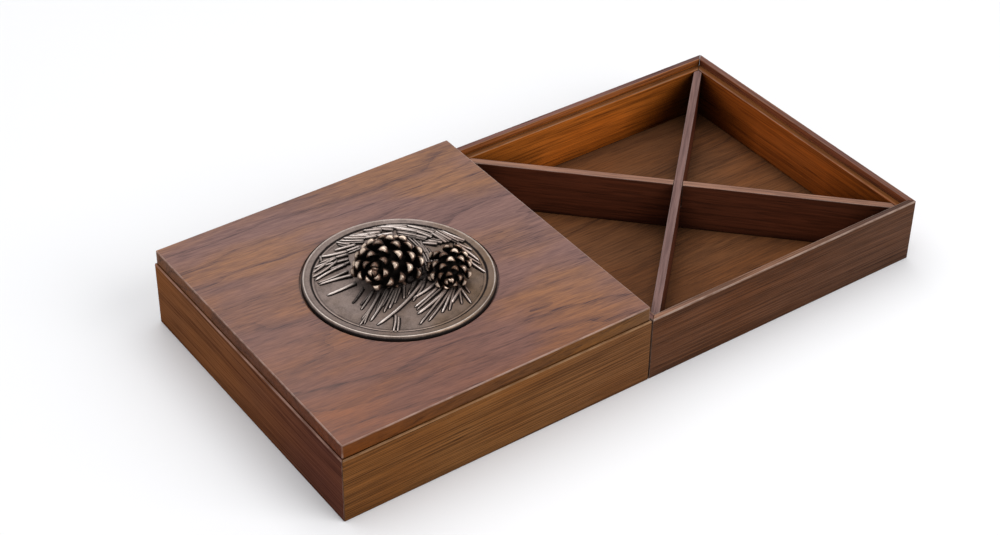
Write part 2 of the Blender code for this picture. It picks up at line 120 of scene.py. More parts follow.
def maths(tree, operation, *values):
    return add(tree, "Math", dict(enumerate(values)), operation=operation).outputs[0]


def product(tree, first, second):
    return maths(tree, "MULTIPLY", first, second)


def total(tree, first, second):
    return maths(tree, "ADD", first, second)


def vectors(tree, operation, first, second, gives="Vector"):
    feeds = {0: first, ("Scale" if operation == "SCALE" else 1): second}
    return add(tree, "VectorMath", feeds, operation=operation).outputs[gives]


def ranged(tree, value, low, high, toLow=0.0, toHigh=1.0):
    return add(tree, "MapRange", {"Value": value, "From Min": low, "From Max": high,
                                  "To Min": toLow, "To Max": toHigh},
               interpolation_type="SMOOTHSTEP").outputs[0]


def noise(tree, vector, stretch, detail=2.0, roughness=0.5, kind="Fac"):
    spread = vectors(tree, "MULTIPLY", vector, stretch)
    return add(tree, "TexNoise", {"Vector": spread, "Scale": 1.0, "Detail": detail,
                                  "Roughness": roughness}).outputs[kind]


def mixed(tree, share, first, second):
    return add(tree, "Mix", {0: share, 6: first, 7: second}, data_type="RGBA").outputs[2]


def newMaterial(name):
    material = bpy.data.materials.new(name)
    material.use_nodes = True
    return material, material.node_tree, material.node_tree.nodes["Principled BSDF"]


def newGroup(name, takes, gives):
    # takes and gives: the labels of each kind of socket.
    tree = bpy.data.node_groups.new(name, "ShaderNodeTree")
    for way, kinds in (("INPUT", takes), ("OUTPUT", gives)):
        for kind, labels in kinds.items():
            for label in labels.split(", "):
                tree.interface.new_socket(label, in_out=way, socket_type="NodeSocket" + kind)
    return tree, tree.nodes.new("NodeGroupInput").outputs, tree.nodes.new("NodeGroupOutput").inputs


def useGroup(tree, group, feeds, settings):
    # The socket "Ring Depth" takes the setting "ringDepth", unless feeds names it.
    placed = tree.nodes.new("ShaderNodeGroup")
    placed.node_tree = group
    for socket in placed.inputs:
        key = socket.name[0].lower() + socket.name[1:].replace(" ", "")
        if socket.name in feeds:
            feed(tree, socket, feeds[socket.name])
        else:
            feed(tree, socket, (*settings[key], 1) if socket.type == "RGBA" else settings[key])
    return placed.outputs


# Wood grain: year rings round a pith that runs along X, open pores, fibres and stain blotches

grainSettings = {
    # noises: stretch along X, Y and Z per metre, detail, roughness
    "drift": ((5, 15, 15), 3, 0.45),
    "ripple": ((28, 110, 110), 2, 0.5),
    "broad": ((7, 95, 95), 3, 0.55),
    "fibre": ((14, 620, 620), 4, 0.62),
    "hair": ((60, 2100, 2100), 2, 0.5),
    "pore": ((42, 1350, 1350), 2, 0.6),
    "line": ((1, 1, 1), 2, 0.6),  # on top of each board's own line size
    "blotch": ((10, 26, 26), 3, 0.55),
    "rippleSize": 0.0016,
    "season": ((0.07, 0.8), (0.24, 0.2), (0.6, 0), (0.88, 0.3)),  # part of the year, darkness
    "yearPower": 1.6,  # above 1, fewer years are dark
    "porePale": 0.55,  # pores in the pale part of a year
    "poreRoughness": 0.22,
    # ranges: noise from, noise to, and what these two give
    "poreRange": (0.52, 0.66),
    "lineRange": (0.56, 0.44),
    "blotchRange": (0.38, 0.64),
    "broadShade": (0.36, 0.68, -0.05, 0.2),
    "fibreShade": (0.36, 0.66, -0.02, 0.18),
    "hairShade": (0.3, 0.7, -0.06, 0.1),
    "fibreRoughness": (0.3, 0.7, 0.36, 0.46),
    "fibreHeight": (0.3, 0.7, 0.25, 0),
}


def makeBoardGrain(settings):
    tree, takes, gives = newGroup("boardGrain", {
        "Vector": "Vector, Pith, Line Size", "Color": "Pale, Dark, Blush",
        "Float": "Rings, Wander, Ring Depth, Pore Depth, Line Depth",
    }, {"Color": "Color", "Float": "Roughness, Height"})
    place = takes["Vector"]
    middle = (0.5, 0.5, 0.5)
    swings = [vectors(tree, "SUBTRACT", noise(tree, place, *settings[name], "Color"), middle)
              for name in ("drift", "ripple")]
    bent = place
    for swing, size in zip(swings, (takes["Wander"], settings["rippleSize"])):
        bent = vectors(tree, "ADD", bent, vectors(tree, "SCALE", swing, size))
    spoke = vectors(tree, "MULTIPLY", vectors(tree, "SUBTRACT", bent, takes["Pith"]), (0, 1, 1))
    radius = add(tree, "VectorMath", {0: spoke}, operation="LENGTH").outputs["Value"]
    years = product(tree, radius, takes["Rings"])
    season = maths(tree, "FRACT", years)
    ramp = add(tree, "ValToRGB", {"Fac": season})
    steps = ramp.color_ramp.elements
    for step in steps:
        step.color = (1, 1, 1, 1)
    for position, value in settings["season"]:
        step = steps.new(position)
        step.color = (value, value, value, 1)
    year = add(tree, "TexWhiteNoise", {"W": maths(tree, "FLOOR", years)},
               noise_dimensions="1D").outputs["Value"]
    ring = product(tree, ramp.outputs["Color"], maths(tree, "POWER", year, settings["yearPower"]))
    broad = noise(tree, bent, *settings["broad"])
    fibre = noise(tree, place, *settings["fibre"])
    hair = noise(tree, place, *settings["hair"])
    pore = ranged(tree, noise(tree, place, *settings["pore"]), *settings["poreRange"])
    pore = product(tree, pore, total(tree, ring, settings["porePale"]))
    line = vectors(tree, "MULTIPLY", place, takes["Line Size"])
    line = ranged(tree, noise(tree, line, *settings["line"]), *settings["lineRange"])
    blotch = ranged(tree, noise(tree, place, *settings["blotch"]), *settings["blotchRange"])
    ground = mixed(tree, blotch, takes["Pale"], takes["Blush"])
    shade = product(tree, ring, takes["Ring Depth"])
    for texture, name in ((pore, "Pore Depth"), (line, "Line Depth")):
        shade = total(tree, shade, product(tree, texture, takes[name]))
    for texture, name in ((broad, "broadShade"), (fibre, "fibreShade"), (hair, "hairShade")):
        shade = total(tree, shade, ranged(tree, texture, *settings[name]))
    shade = add(tree, "Clamp", {"Value": shade}).outputs[0]
    colour = mixed(tree, shade, ground, takes["Dark"])
    rough = total(tree, product(tree, pore, settings["poreRoughness"]),
                  ranged(tree, fibre, *settings["fibreRoughness"]))
    height = maths(tree, "SUBTRACT", ranged(tree, fibre, *settings["fibreHeight"]),
                   total(tree, pore, product(tree, line, takes["Line Depth"])))
    feedAll(tree, gives, {"Color": colour, "Roughness": rough, "Height": height})
    return tree


# Rubbed edges with a painted highlight: a facet whose normal lies along none of the board's own
# axes is an eased edge

edgeSettings = {
    "squareness": (0.985, 0.93),  # largest part of the normal, from a flat side to an edge
    "upward": (-0.3, -0.1),  # painted highlight, so edges that face down are left alone
    "breaks": ((60, 160, 160), 3, 0.6),
    "breakRange": (0.34, 0.62, 0.35, 1),
}


def makeRubbedHighlitEdge(settings):
    tree, takes, gives = newGroup("rubbedEdge", {
        "Vector": "Vector, Facing", "Color": "Color, Rubbed", "Float": "Rub",
    }, {"Color": "Color"})
    parts = add(tree, "SeparateXYZ", {0: takes["Facing"]}).outputs
    flat = [maths(tree, "ABSOLUTE", part) for part in parts]
    squareness = maths(tree, "MAXIMUM", maths(tree, "MAXIMUM", flat[0], flat[1]), flat[2])
    edge = product(tree, ranged(tree, squareness, *settings["squareness"]),
                   ranged(tree, parts[2], *settings["upward"]))
    broken = noise(tree, takes["Vector"], *settings["breaks"])
    broken = ranged(tree, broken, *settings["breakRange"])
    share = product(tree, product(tree, edge, broken), takes["Rub"])
    feed(tree, gives["Color"], mixed(tree, share, takes["Color"], takes["Rubbed"]))
    return tree


# Painted light and shade on the boards: a tint for each side of a board, painted light and shade; a
# painted sheen on its rim and its step; painted shade along it and in darker corners

boardShadeSettings = {
    # part of the normal along an axis, from no tint to the full tint
    "outward": (-0.35, -0.75),
    "inward": (0.35, 0.75),
    "upward": (0.5, 0.8),
    "coated": (0.3, 0.9),
    "openness": (0.66, 0.3),  # ambient occlusion, from a free side to a corner
}


def makeBoardShade(settings):
    tree, takes, gives = newGroup("boardStain", {
        "Vector": "Vector, Facing, Fade Along",
        "Color": "Color, Outer Tint, Inner Tint, End Tint, Rim Tint, Step Tint, Rim Fade, "
                 "Fade Tint",
        "Float": "Level, Step Level, Fade From, Fade To, Corner, Reach, Coat",
    }, {"Color": "Color", "Float": "Coat"})
    parts = add(tree, "SeparateXYZ", {0: takes["Facing"]}).outputs
    along = vectors(tree, "DOT_PRODUCT", takes["Vector"], takes["Fade Along"], "Value")
    raised = maths(tree, "GREATER_THAN", takes["Level"], takes["Step Level"])
    inner = ranged(tree, parts[1], *settings["inward"])
    rim = product(tree, raised, ranged(tree, parts[2], *settings["upward"]))
    far = ranged(tree, along, takes["Fade From"], takes["Fade To"])
    # Painted light and shade: each side, the rim and the step get their own tint, and the board and
    # its rim change along a direction.
    shares = ((ranged(tree, parts[1], *settings["outward"]), "Outer Tint"), (inner, "Inner Tint"),
              (ranged(tree, maths(tree, "ABSOLUTE", parts[0]), *settings["inward"]), "End Tint"),
              (rim, "Rim Tint"), (product(tree, raised, inner), "Step Tint"),
              (product(tree, rim, far), "Rim Fade"), (far, "Fade Tint"))
    colour = takes["Color"]
    for share, tint in shares:
        colour = vectors(tree, "MULTIPLY", colour, mixed(tree, share, (1, 1, 1, 1), takes[tint]))
    # Painted shade: darker in corners and near other parts, where ambient occlusion is low.
    openness = add(tree, "AmbientOcclusion", {"Distance": takes["Reach"]}, samples=4).outputs["AO"]
    hidden = product(tree, ranged(tree, openness, *settings["openness"]), takes["Corner"])
    colour = vectors(tree, "SCALE", colour, maths(tree, "SUBTRACT", 1.0, hidden))
    coat = product(tree, takes["Coat"], ranged(tree, parts[2], *settings["coated"]))
    feedAll(tree, gives, {"Color": colour, "Coat": coat})
    return tree


boardGrain = makeBoardGrain(grainSettings)
rubbedEdge = makeRubbedHighlitEdge(edgeSettings)
boardStain = makeBoardShade(boardShadeSettings)


# Each board: its colours, the run of its grain, its pith and its rings

plainBoard = {
    "ringDepth": 0.34, "poreDepth": 0.4, "lineDepth": 0.36,  # how dark each kind of line is
    "coat": 0,
    "outerTint": (1, 1, 1),  # painted light and shade on sides that face -Y once the board is turned along X
    "innerTint": (1, 1, 1),  # painted light and shade on sides that face +Y
    "endTint": (1, 1, 1),  # painted light and shade on sides that face along X
    "rimTint": (1, 1, 1),  # painted sheen above the step level, facing up
    "stepTint": (1, 1, 1),  # painted sheen above the step level, facing +Y
    "stepLevel": 1,  # metres; 1 is above every board
    # painted light and shade: tints from one distance along a direction to another, of the whole
    # board and of its rim
    "fadeTint": (1, 1, 1), "rimFade": (1, 1, 1),
    "fadeAlong": (1, 0, 0), "fadeFrom": -0.2, "fadeTo": 0.2,
    "reach": 0.02,  # metres, how far a corner's painted shade goes
    "bevel": 0.0006, "reliefStrength": 0.35, "relief": 0.00025, "coatRoughness": 0.22,
}
trayWall = {
    **plainBoard, "wander": 0.009, "lineSize": (12, 1150, 1150), "outerTint": (0.8, 0.74, 0.8),
    "rub": 0.5, "corner": 0.85, "reach": 0.04, "gloss": 0.04,
}
sideWall = {
    **trayWall, "pale": (0.215, 0.082, 0.03), "dark": (0.055, 0.02, 0.009),
    "blush": (0.232, 0.08, 0.022), "innerTint": (2.35, 1.6, 0.8), "rimTint": (0.95, 1.25, 2.9),
    "stepTint": (0.72, 0.9, 2.5), "stepLevel": 0.0376, "rubbed": (0.3, 0.2, 0.15),
}
divider = {
    **plainBoard, "wander": 0.007, "lineSize": (30, 800, 800), "rub": 0.4, "corner": 0.75,
    "coat": 0.15, "gloss": 0.12,
}
batten = {
    **plainBoard, "pale": (0.2, 0.088, 0.038), "dark": (0.06, 0.026, 0.014),
    "blush": (0.21, 0.08, 0.03), "pith": (0, 0.04, -0.26), "rings": 340, "wander": 0.008,
    "ringDepth": 0.35, "lineSize": (14, 800, 800), "rubbed": (0.32, 0.22, 0.15), "rub": 0.5,
    "corner": 0.6, "gloss": 0.12,
}
# turn (degrees) and shift (metres) take a board to its place in the log
boardSettings = {
    # The lid's colours are bluer than the wood, a painted mauve sheen on the top that the side
    # tints take off again; its fade is painted shade towards the front corner.
    "lidTop": {
        **plainBoard, "nodes": ("lid_panel",), "turn": (0, 3, 4), "shift": (0.21, 0.035, 0.012),
        "pale": (0.244, 0.129, 0.107), "dark": (0.082, 0.042, 0.042), "blush": (0.318, 0.147, 0.07),
        "pith": (0, 0.02, -0.055), "rings": 110, "wander": 0.048,
        "ringDepth": 0.45, "poreDepth": 0.34, "lineDepth": 0.22, "lineSize": (60, 1100, 1100),
        "outerTint": (0.67, 0.67, 0.38), "innerTint": (0.8, 0.58, 0.25),
        "endTint": (0.61, 0.47, 0.28), "fadeTint": (0.73, 0.38, 0.15),
        "fadeAlong": (0.64, 1, 0), "fadeFrom": 0, "fadeTo": -0.3,
        "rubbed": (0.44, 0.3, 0.24), "rub": 0.55, "corner": 0.4, "coat": 0.8, "gloss": 0.03,
    },
    "closedFrontWall": {
        **plainBoard, "nodes": ("upper_tray_front_wall",),
        "turn": (0, 0.6, 0), "shift": (0, 0.3, 0.02),
        "pale": (0.232, 0.097, 0.029), "dark": (0.044, 0.017, 0.006), "blush": (0.214, 0.08, 0.02),
        "pith": (0, 0.05, -0.3), "rings": 420, "wander": 0.004,
        "ringDepth": 0.1, "poreDepth": 0.24, "lineDepth": 0.5, "lineSize": (6, 1450, 1450),
        "innerTint": (2.1, 1.5, 0.75),
        "fadeTint": (0.84, 0.84, 1), "fadeFrom": -0.12, "fadeTo": -0.01,
        "rubbed": (0.4, 0.24, 0.13), "rub": 0.55, "corner": 0.4, "gloss": 0.02,
    },
    "closedLeftWall": {
        **plainBoard, "nodes": ("upper_tray_left_wall",),
        "turn": (0, 0.5, 90), "shift": (0, 0.7, 0.03),
        "pale": (0.226, 0.09, 0.037), "dark": (0.07, 0.025, 0.012), "blush": (0.25, 0.094, 0.033),
        "pith": (0, 0.05, -0.28), "rings": 380, "wander": 0.008,
        "ringDepth": 0.26, "poreDepth": 0.3, "lineDepth": 0.38, "lineSize": (9, 1200, 1200),
        "innerTint": (2.1, 1.5, 0.75),
        "fadeTint": (0.54, 0.5, 0.82), "fadeFrom": -0.05, "fadeTo": 0.09,
        "rubbed": (0.46, 0.28, 0.22), "rub": 0.7, "corner": 0.4, "gloss": 0,
    },
    "openFrontWall": {
        **plainBoard, "nodes": ("lower_tray_front_wall",),
        "turn": (0, -0.5, 0), "shift": (0, 0.1, 0.05),
        "pale": (0.128, 0.051, 0.024), "dark": (0.028, 0.011, 0.005),
        "blush": (0.118, 0.041, 0.015), "pith": (0, 0.04, -0.33), "rings": 430, "wander": 0.005,
        "ringDepth": 0.15, "poreDepth": 0.28, "lineDepth": 0.46, "lineSize": (9, 1400, 1400),
        "innerTint": (2.6, 2, 0.9), "rimTint": (2.6, 3.6, 5.6), "stepLevel": 0.0385,
        # Towards its right end: painted shade on the rim and a painted bluish reflection on the
        # board.
        "rimFade": (0.34, 0.34, 0.36), "fadeTint": (0.92, 1.02, 1.2),
        "fadeFrom": 0.08, "fadeTo": 0.19,
        "rubbed": (0.36, 0.26, 0.21), "rub": 0.75, "corner": 0.6, "gloss": 0.03,
    },
    "backWalls": {
        **trayWall, "nodes": ("lower_tray_back_wall", "upper_tray_back_wall"),
        "turn": (0, 0.4, 180), "shift": (0.1, 0.5, 0.01),
        "pale": (0.25, 0.09, 0.027), "dark": (0.06, 0.021, 0.008), "blush": (0.265, 0.085, 0.02),
        "pith": (0, 0.05, -0.25), "rings": 300, "innerTint": (2.35, 1.8, 0.8),
        "rimTint": (0.95, 1.25, 3.3), "stepTint": (0.9, 1.05, 2.3), "stepLevel": 0.0385,
        "rimFade": (0.68, 0.72, 0.78), "fadeTint": (0.94, 0.94, 0.94), "fadeAlong": (-1, 0, 0),
        "fadeFrom": 0.08, "fadeTo": 0.19, "rubbed": (0.3, 0.19, 0.12),
    },
    "openRightWall": {
        **sideWall, "nodes": ("lower_tray_right_wall", "upper_tray_right_wall"),
        "turn": (0, -0.4, -90), "shift": (0.2, 0.9, 0.02), "pith": (0, 0.05, -0.27), "rings": 300,
    },
    "openLeftWall": {
        **sideWall, "nodes": ("lower_tray_left_wall",),
        "turn": (0, 0.4, 90), "shift": (0.3, 0.2, 0.06), "pith": (0, 0.05, -0.26), "rings": 310,
    },
    "basePanels": {
        **plainBoard, "nodes": ("lower_tray_base", "upper_tray_base"),
        "turn": (0, 2, 0), "shift": (0.4, 0.15, 0.3),
        "pale": (0.168, 0.07, 0.029), "dark": (0.062, 0.025, 0.012), "blush": (0.182, 0.068, 0.024),
        "pith": (0, 0.02, -0.08), "rings": 140, "wander": 0.03,
        "ringDepth": 0.48, "poreDepth": 0.45, "lineDepth": 0.28, "lineSize": (25, 800, 800),
        "rubbed": (0.3, 0.18, 0.12), "rub": 0.5, "corner": 0.75, "gloss": 0.08,
    },
    # Divider colours are mauve, a painted sheen on their tops, and their sides are tinted darker
    # and redder, painted shade.
    "longDividers": {
        **divider, "nodes": ("lower_tray_long_divider", "upper_tray_long_divider"),
        "turn": (0, 0.5, -45), "shift": (0.6, 0.2, 0.07), "pith": (0, 0.03, -0.31), "rings": 380,
        "pale": (0.205, 0.118, 0.104), "dark": (0.078, 0.04, 0.037), "blush": (0.22, 0.118, 0.098),
        "outerTint": (0.55, 0.26, 0.15), "innerTint": (0.55, 0.26, 0.15),
        "rubbed": (0.34, 0.24, 0.22),
    },
    "crossDividers": {
        **divider, "nodes": ("lower_tray_cross_divider", "upper_tray_cross_divider"),
        "turn": (0, -0.5, 45), "shift": (0.8, 0.4, 0.09), "pith": (0, 0.03, -0.29), "rings": 390,
        "pale": (0.318, 0.165, 0.11), "dark": (0.116, 0.06, 0.043), "blush": (0.333, 0.165, 0.106),
        "outerTint": (0.36, 0.2, 0.14), "innerTint": (0.36, 0.2, 0.14), "rubbed": (0.34, 0.24, 0.2),
    },
    "frontBackBattens": {
        **batten, "nodes": ("lid_front_batten", "lid_back_batten"),
        "turn": (0, 0.5, 0), "shift": (0.9, 0.6, 0.12),
    },
    "sideBattens": {
        **batten, "nodes": ("lid_left_batten", "lid_right_batten"),
        "turn": (0, 0.5, 90), "shift": (0.7, 0.8, 0.14),
    },
}


def makeBoardWood(name, settings):
    material, tree, shader = newMaterial(name)
    coordinates = add(tree, "TexCoord").outputs
    turn = [math.radians(a) for a in settings["turn"]]
    turned = add(tree, "Mapping", {"Vector": coordinates["Object"], "Rotation": turn}).outputs[0]
    facing = add(tree, "Mapping", {"Vector": coordinates["Normal"], "Rotation": turn},
                 vector_type="VECTOR").outputs[0]
    inLog = vectors(tree, "ADD", turned, settings["shift"])
    grain = useGroup(tree, boardGrain, {"Vector": inLog}, settings)
    level = add(tree, "SeparateXYZ", {0: coordinates["Object"]}).outputs[2]
    stainedAndShaded = useGroup(tree, boardStain, {"Vector": turned, "Facing": facing, "Level": level,
                                          "Color": grain["Color"]}, settings)
    edge = useGroup(tree, rubbedEdge, {"Vector": turned, "Facing": facing,
                                       "Color": stainedAndShaded["Color"]}, settings)
    rounded = add(tree, "Bevel", {"Radius": settings["bevel"]}, samples=4).outputs[0]
    relief = add(tree, "Bump", {
        "Height": grain["Height"], "Normal": rounded, "Strength": settings["reliefStrength"],
        "Distance": settings["relief"],
    })
    feedAll(tree, shader.inputs, {
        "Base Color": edge["Color"], "Roughness": grain["Roughness"], "Normal": relief.outputs[0],
        "Coat Weight": stainedAndShaded["Coat"], "Specular IOR Level": settings["gloss"],
        "Coat Roughness": settings["coatRoughness"],
    })
    return material


for boardName, settings in boardSettings.items():
    wood = makeBoardWood(boardName, settings)
    for nodeName in settings["nodes"]:
        nodes[nodeName].data.materials.clear()
        nodes[nodeName].data.materials.append(wood)
print("boards finished:", len(boardSettings), "woods")


# Antique bronze: black patina in the hollows, burnished metal with a painted highlight where the
# attribute "worn" is high

patinaSettings = {
    # noises: stretch per metre, detail, roughness
    "cloud": ((160, 160, 160), 4, 0.6),
    "grit": ((1500, 1500, 1500), 3, 0.6),
    "stain": ((60, 60, 60), 2, 0.5),
    "noiseRange": (0.3, 0.7),
    "hollowReach": 0.0022,
    "unevenWear": (-0.05, 0.05),
    "body": (0.05, 0.5),  # wear from patina to bronze
    "shine": (0.55, 0.95),  # wear and painted highlight, from bronze to burnished
    "tintAlong": (1, -1, 0), "tintRange": (-0.12, -0.03, 0, 0.8),  # painted shade: along one direction the bronze turns to its tint
    "unevenTint": (-0.2, 0.2),
    "roughness": (0.68, 0.4), "shineRoughness": 0.14, "unevenRoughness": (-0.04, 0.06),
    "metallic": (0.25, 0.92), "shineMetallic": 0.45,
    "cloudHeight": 0.6, "gritHeight": 0.4,
}


def makePatina(settings):
    tree, takes, gives = newGroup("castPatina", {
        "Vector": "Vector", "Color": "Patina, Bronze, Burnished, Tint",
        "Float": "Worn, Hidden, Open",
    }, {"Color": "Color", "Float": "Roughness, Metallic, Height"})
    place = takes["Vector"]
    low, high = settings["noiseRange"]
    cloud, grit = (noise(tree, place, *settings[name]) for name in ("cloud", "grit"))
    hollow = add(tree, "AmbientOcclusion", {"Distance": settings["hollowReach"]}, samples=4)
    hollow = ranged(tree, hollow.outputs["AO"], takes["Hidden"], takes["Open"])
    wear = product(tree, takes["Worn"], hollow)
    for texture in (cloud, grit):
        wear = total(tree, wear, ranged(tree, texture, low, high, *settings["unevenWear"]))
    body = ranged(tree, wear, *settings["body"])
    shine = ranged(tree, wear, *settings["shine"])
    # Painted shade along one direction, with random stain on top.
    along = vectors(tree, "DOT_PRODUCT", place, settings["tintAlong"], "Value")
    stain = noise(tree, place, *settings["stain"])
    stain = total(tree, ranged(tree, along, *settings["tintRange"]),
                  ranged(tree, stain, low, high, *settings["unevenTint"]))
    stain = add(tree, "Clamp", {"Value": stain}).outputs[0]
    colour = mixed(tree, stain, takes["Bronze"], takes["Tint"])
    colour = mixed(tree, shine, mixed(tree, body, takes["Patina"], colour), takes["Burnished"])
    rough = maths(tree, "SUBTRACT", ranged(tree, body, 0, 1, *settings["roughness"]),
                  product(tree, shine, settings["shineRoughness"]))
    rough = total(tree, rough, ranged(tree, grit, low, high, *settings["unevenRoughness"]))
    metal = maths(tree, "SUBTRACT", ranged(tree, body, 0, 1, *settings["metallic"]),
                  product(tree, shine, settings["shineMetallic"]))
    height = total(tree, product(tree, cloud, settings["cloudHeight"]),
                   product(tree, grit, settings["gritHeight"]))
    feedAll(tree, gives, {"Color": colour, "Roughness": rough, "Metallic": metal, "Height": height})
    return tree


castPatina = makePatina(patinaSettings)

plainBronze = {
    "patina": (0.012, 0.008, 0.007), "gloss": 0.15,
    "hidden": 0.25, "open": 0.85,  # ambient occlusion, from a hollow to a free surface
    "relief": 0.00008, "reliefStrength": 0.5,
}
# The burnished colours are pale cream: burnished metal and a painted highlight.
bronzeSettings = {
    "plateBronze": {
        **plainBronze, "bronze": (0.303, 0.234, 0.206), "burnished": (0.74, 0.65, 0.58),
        "tint": (0.208, 0.133, 0.083),
    },
    "needleBronze": {
        **plainBronze, "bronze": (0.425, 0.354, 0.319), "burnished": (0.85, 0.76, 0.71),
        "tint": (0.33, 0.225, 0.18),
    },
    "coneBronze": {
        **plainBronze, "patina": (0.006, 0.004, 0.003), "bronze": (0.12, 0.07, 0.05),
        "burnished": (0.86, 0.67, 0.53), "tint": (0.13, 0.07, 0.044), "gloss": 0.12,
        "hidden": 0.12, "open": 0.6, "relief": 0.0001,
    },
}


def makeBronze(name, settings):
    material, tree, shader = newMaterial(name)
    place = add(tree, "TexCoord").outputs["Object"]
    worn = add(tree, "Attribute", attribute_name="worn").outputs["Fac"]
    cast = useGroup(tree, castPatina, {"Vector": place, "Worn": worn}, settings)
    relief = add(tree, "Bump", {"Height": cast["Height"], "Strength": settings["reliefStrength"],
                                "Distance": settings["relief"]})
    feedAll(tree, shader.inputs, {
        "Base Color": cast["Color"], "Roughness": cast["Roughness"], "Metallic": cast["Metallic"],
        "Normal": relief.outputs[0], "Specular IOR Level": settings["gloss"],
    })
    return material


bronzes = {name: makeBronze(name, settings) for name, settings in bronzeSettings.items()}


# Surfaces from arrays

def closedTubes(points, ends):
    # points: (tubes, stations, around, 3); ends: (tubes, 2, 3). Quads join neighbouring stations
    # and a fan of triangles closes each end, all by index sums.
    tubes, stations, around, _ = points.shape
    flat = np.concatenate((points.reshape(tubes, -1, 3), ends), axis=1)
    first = (np.arange(tubes) * flat.shape[1])[:, None, None]
    row = np.arange(stations - 1)[None, :, None] * around
    here = np.arange(around)[None, None, :]
    after = (here + 1) % around
    quads = np.stack((first + row + here, first + row + after,
                      first + row + around + after, first + row + around + here), -1).reshape(-1, 4)
    last = (stations - 1) * around
    pole = first + stations * around
    fans = ((pole, first + after, first + here),
            (pole + 1, first + last + here, first + last + after))
    fans = [np.stack(np.broadcast_arrays(*corners), -1).reshape(-1, 3).tolist() for corners in fans]
    return flat.reshape(-1, 3), quads.tolist() + fans[0] + fans[1]


def makePiece(name, points, faces, worn, bronze):
    mesh = bpy.data.meshes.new(name)
    mesh.from_pydata(points.tolist(), [], faces)
    mesh.polygons.foreach_set("use_smooth", np.ones(len(mesh.polygons), bool))
    rub = mesh.attributes.new("worn", "FLOAT", "POINT")
    rub.data.foreach_set("value", np.clip(worn, 0, 1).astype(np.float32))
    mesh.materials.append(bronzes[bronze])
    mesh.update()
    piece = addObject(name, mesh)
    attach(piece, "lid")
    return piece


def fullTurn(count):
    return np.arange(count) * 2 * np.pi / count


def spun(turn, reach, height, ends):
    # Rings about Z as one tube, each with its reach and height, and the two points that close it.
    rings = np.stack((reach * np.cos(turn), reach * np.sin(turn), height + 0 * turn), -1)[None]
    return rings, np.array([[(0, 0, end) for end in ends]])


def unit(rows):
    return rows / np.linalg.norm(rows, axis=-1, keepdims=True)


def blunted(t, end):
    # A quarter ellipse that closes the end from a share of the length on, down to a least share.
    start, over, least = end
    return np.sqrt(np.clip(1 - np.clip((t - start) / over, 0, 1) ** 2, least, 1))


def smoothThrough(at, keys, values):
    # A curve through the keys whose slope at each key is the mean of the two beside it.
    keys, values = np.asarray(keys, float), np.asarray(values, float)
    slopes = np.gradient(values, keys)
    slot = np.clip(np.searchsorted(keys, at, side="right") - 1, 0, len(keys) - 2)
    width = keys[slot + 1] - keys[slot]
    t = (at - keys[slot]) / width
    return ((1 + 2 * t) * (1 - t) ** 2 * values[slot] + t * (1 - t) ** 2 * width * slopes[slot]
            + t * t * (3 - 2 * t) * values[slot + 1] - t * t * (1 - t) * width * slopes[slot + 1])


# Plate

plateLow, plateHigh = (np.array(corner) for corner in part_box("medallion_plate"))
plateCentre = (plateLow + plateHigh) / 2
plateSettings = {
    "radius": 0.055, "border": 0.0045, "fieldHeight": 0.0021, "segments": 256,
    # distance in from the rim, or share of the field's radius; height above the underside; wear
    # with painted highlight, none on the outer side and shoulder, patina and painted shadow there
    "rimProfile": (
        (0.0006, 0, 0), (0.0006, 0.0012, 0), (0.0008, 0.0016, 0.04), (0.0011, 0.0022, 0.24),
        (0.0014, 0.0026, 0.4), (0.0016, 0.0029, 0.6), (0.002, 0.003, 0.85), (0.0025, 0.0029, 0.5),
        (0.003, 0.00277, 0.32), (0.0035, 0.00273, 0.38), (0.0053, 0.00273, 0.38),
        (0.0057, 0.00268, 0.15), (0.006, 0.0024, 0), (0.0064, 0.00206, 0), (0.0067, 0.0021, 0.1),
        (0.0071, 0.0023, 0.6), (0.0075, 0.0023, 0.5), (0.008, 0.0021, 0.25), (0.009, 0.0021, 0.34),
    ),
    "fieldProfile": (
        (0.78, 0.0021, 0.36), (0.5, 0.0021, 0.34), (0.3, 0.0021, 0.3), (0.1, 0.0021, 0.3),
    ),
}
fieldTop = plateLow[2] + plateSettings["fieldHeight"]
fieldRadius = plateSettings["radius"] - plateSettings["border"]


def makePlate(settings):
    # A profile of radius and height spun about the plate's axis, closed by a point above and below.
    rim, field = np.array(settings["rimProfile"]), np.array(settings["fieldProfile"])
    rim[:, 0] = settings["radius"] - rim[:, 0]
    field[:, 0] *= fieldRadius
    profile = np.concatenate((rim, field))
    rings, ends = spun(fullTurn(settings["segments"]), profile[:, 0, None], profile[:, 1, None],
                       profile[[0, -1], 1])
    points, faces = closedTubes(rings, ends)
    points += (plateCentre[0], plateCentre[1], plateLow[2])
    worn = np.concatenate((np.repeat(profile[:, 2], settings["segments"]), profile[[0, -1], 2]))
    disc = makePiece("medallionDisc", points, faces, worn, "plateBronze")
    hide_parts("medallion_plate")


makePlate(plateSettings)
print("plate turned")


# Needles: root and tip as shares of the field's radius, bend, width and wear

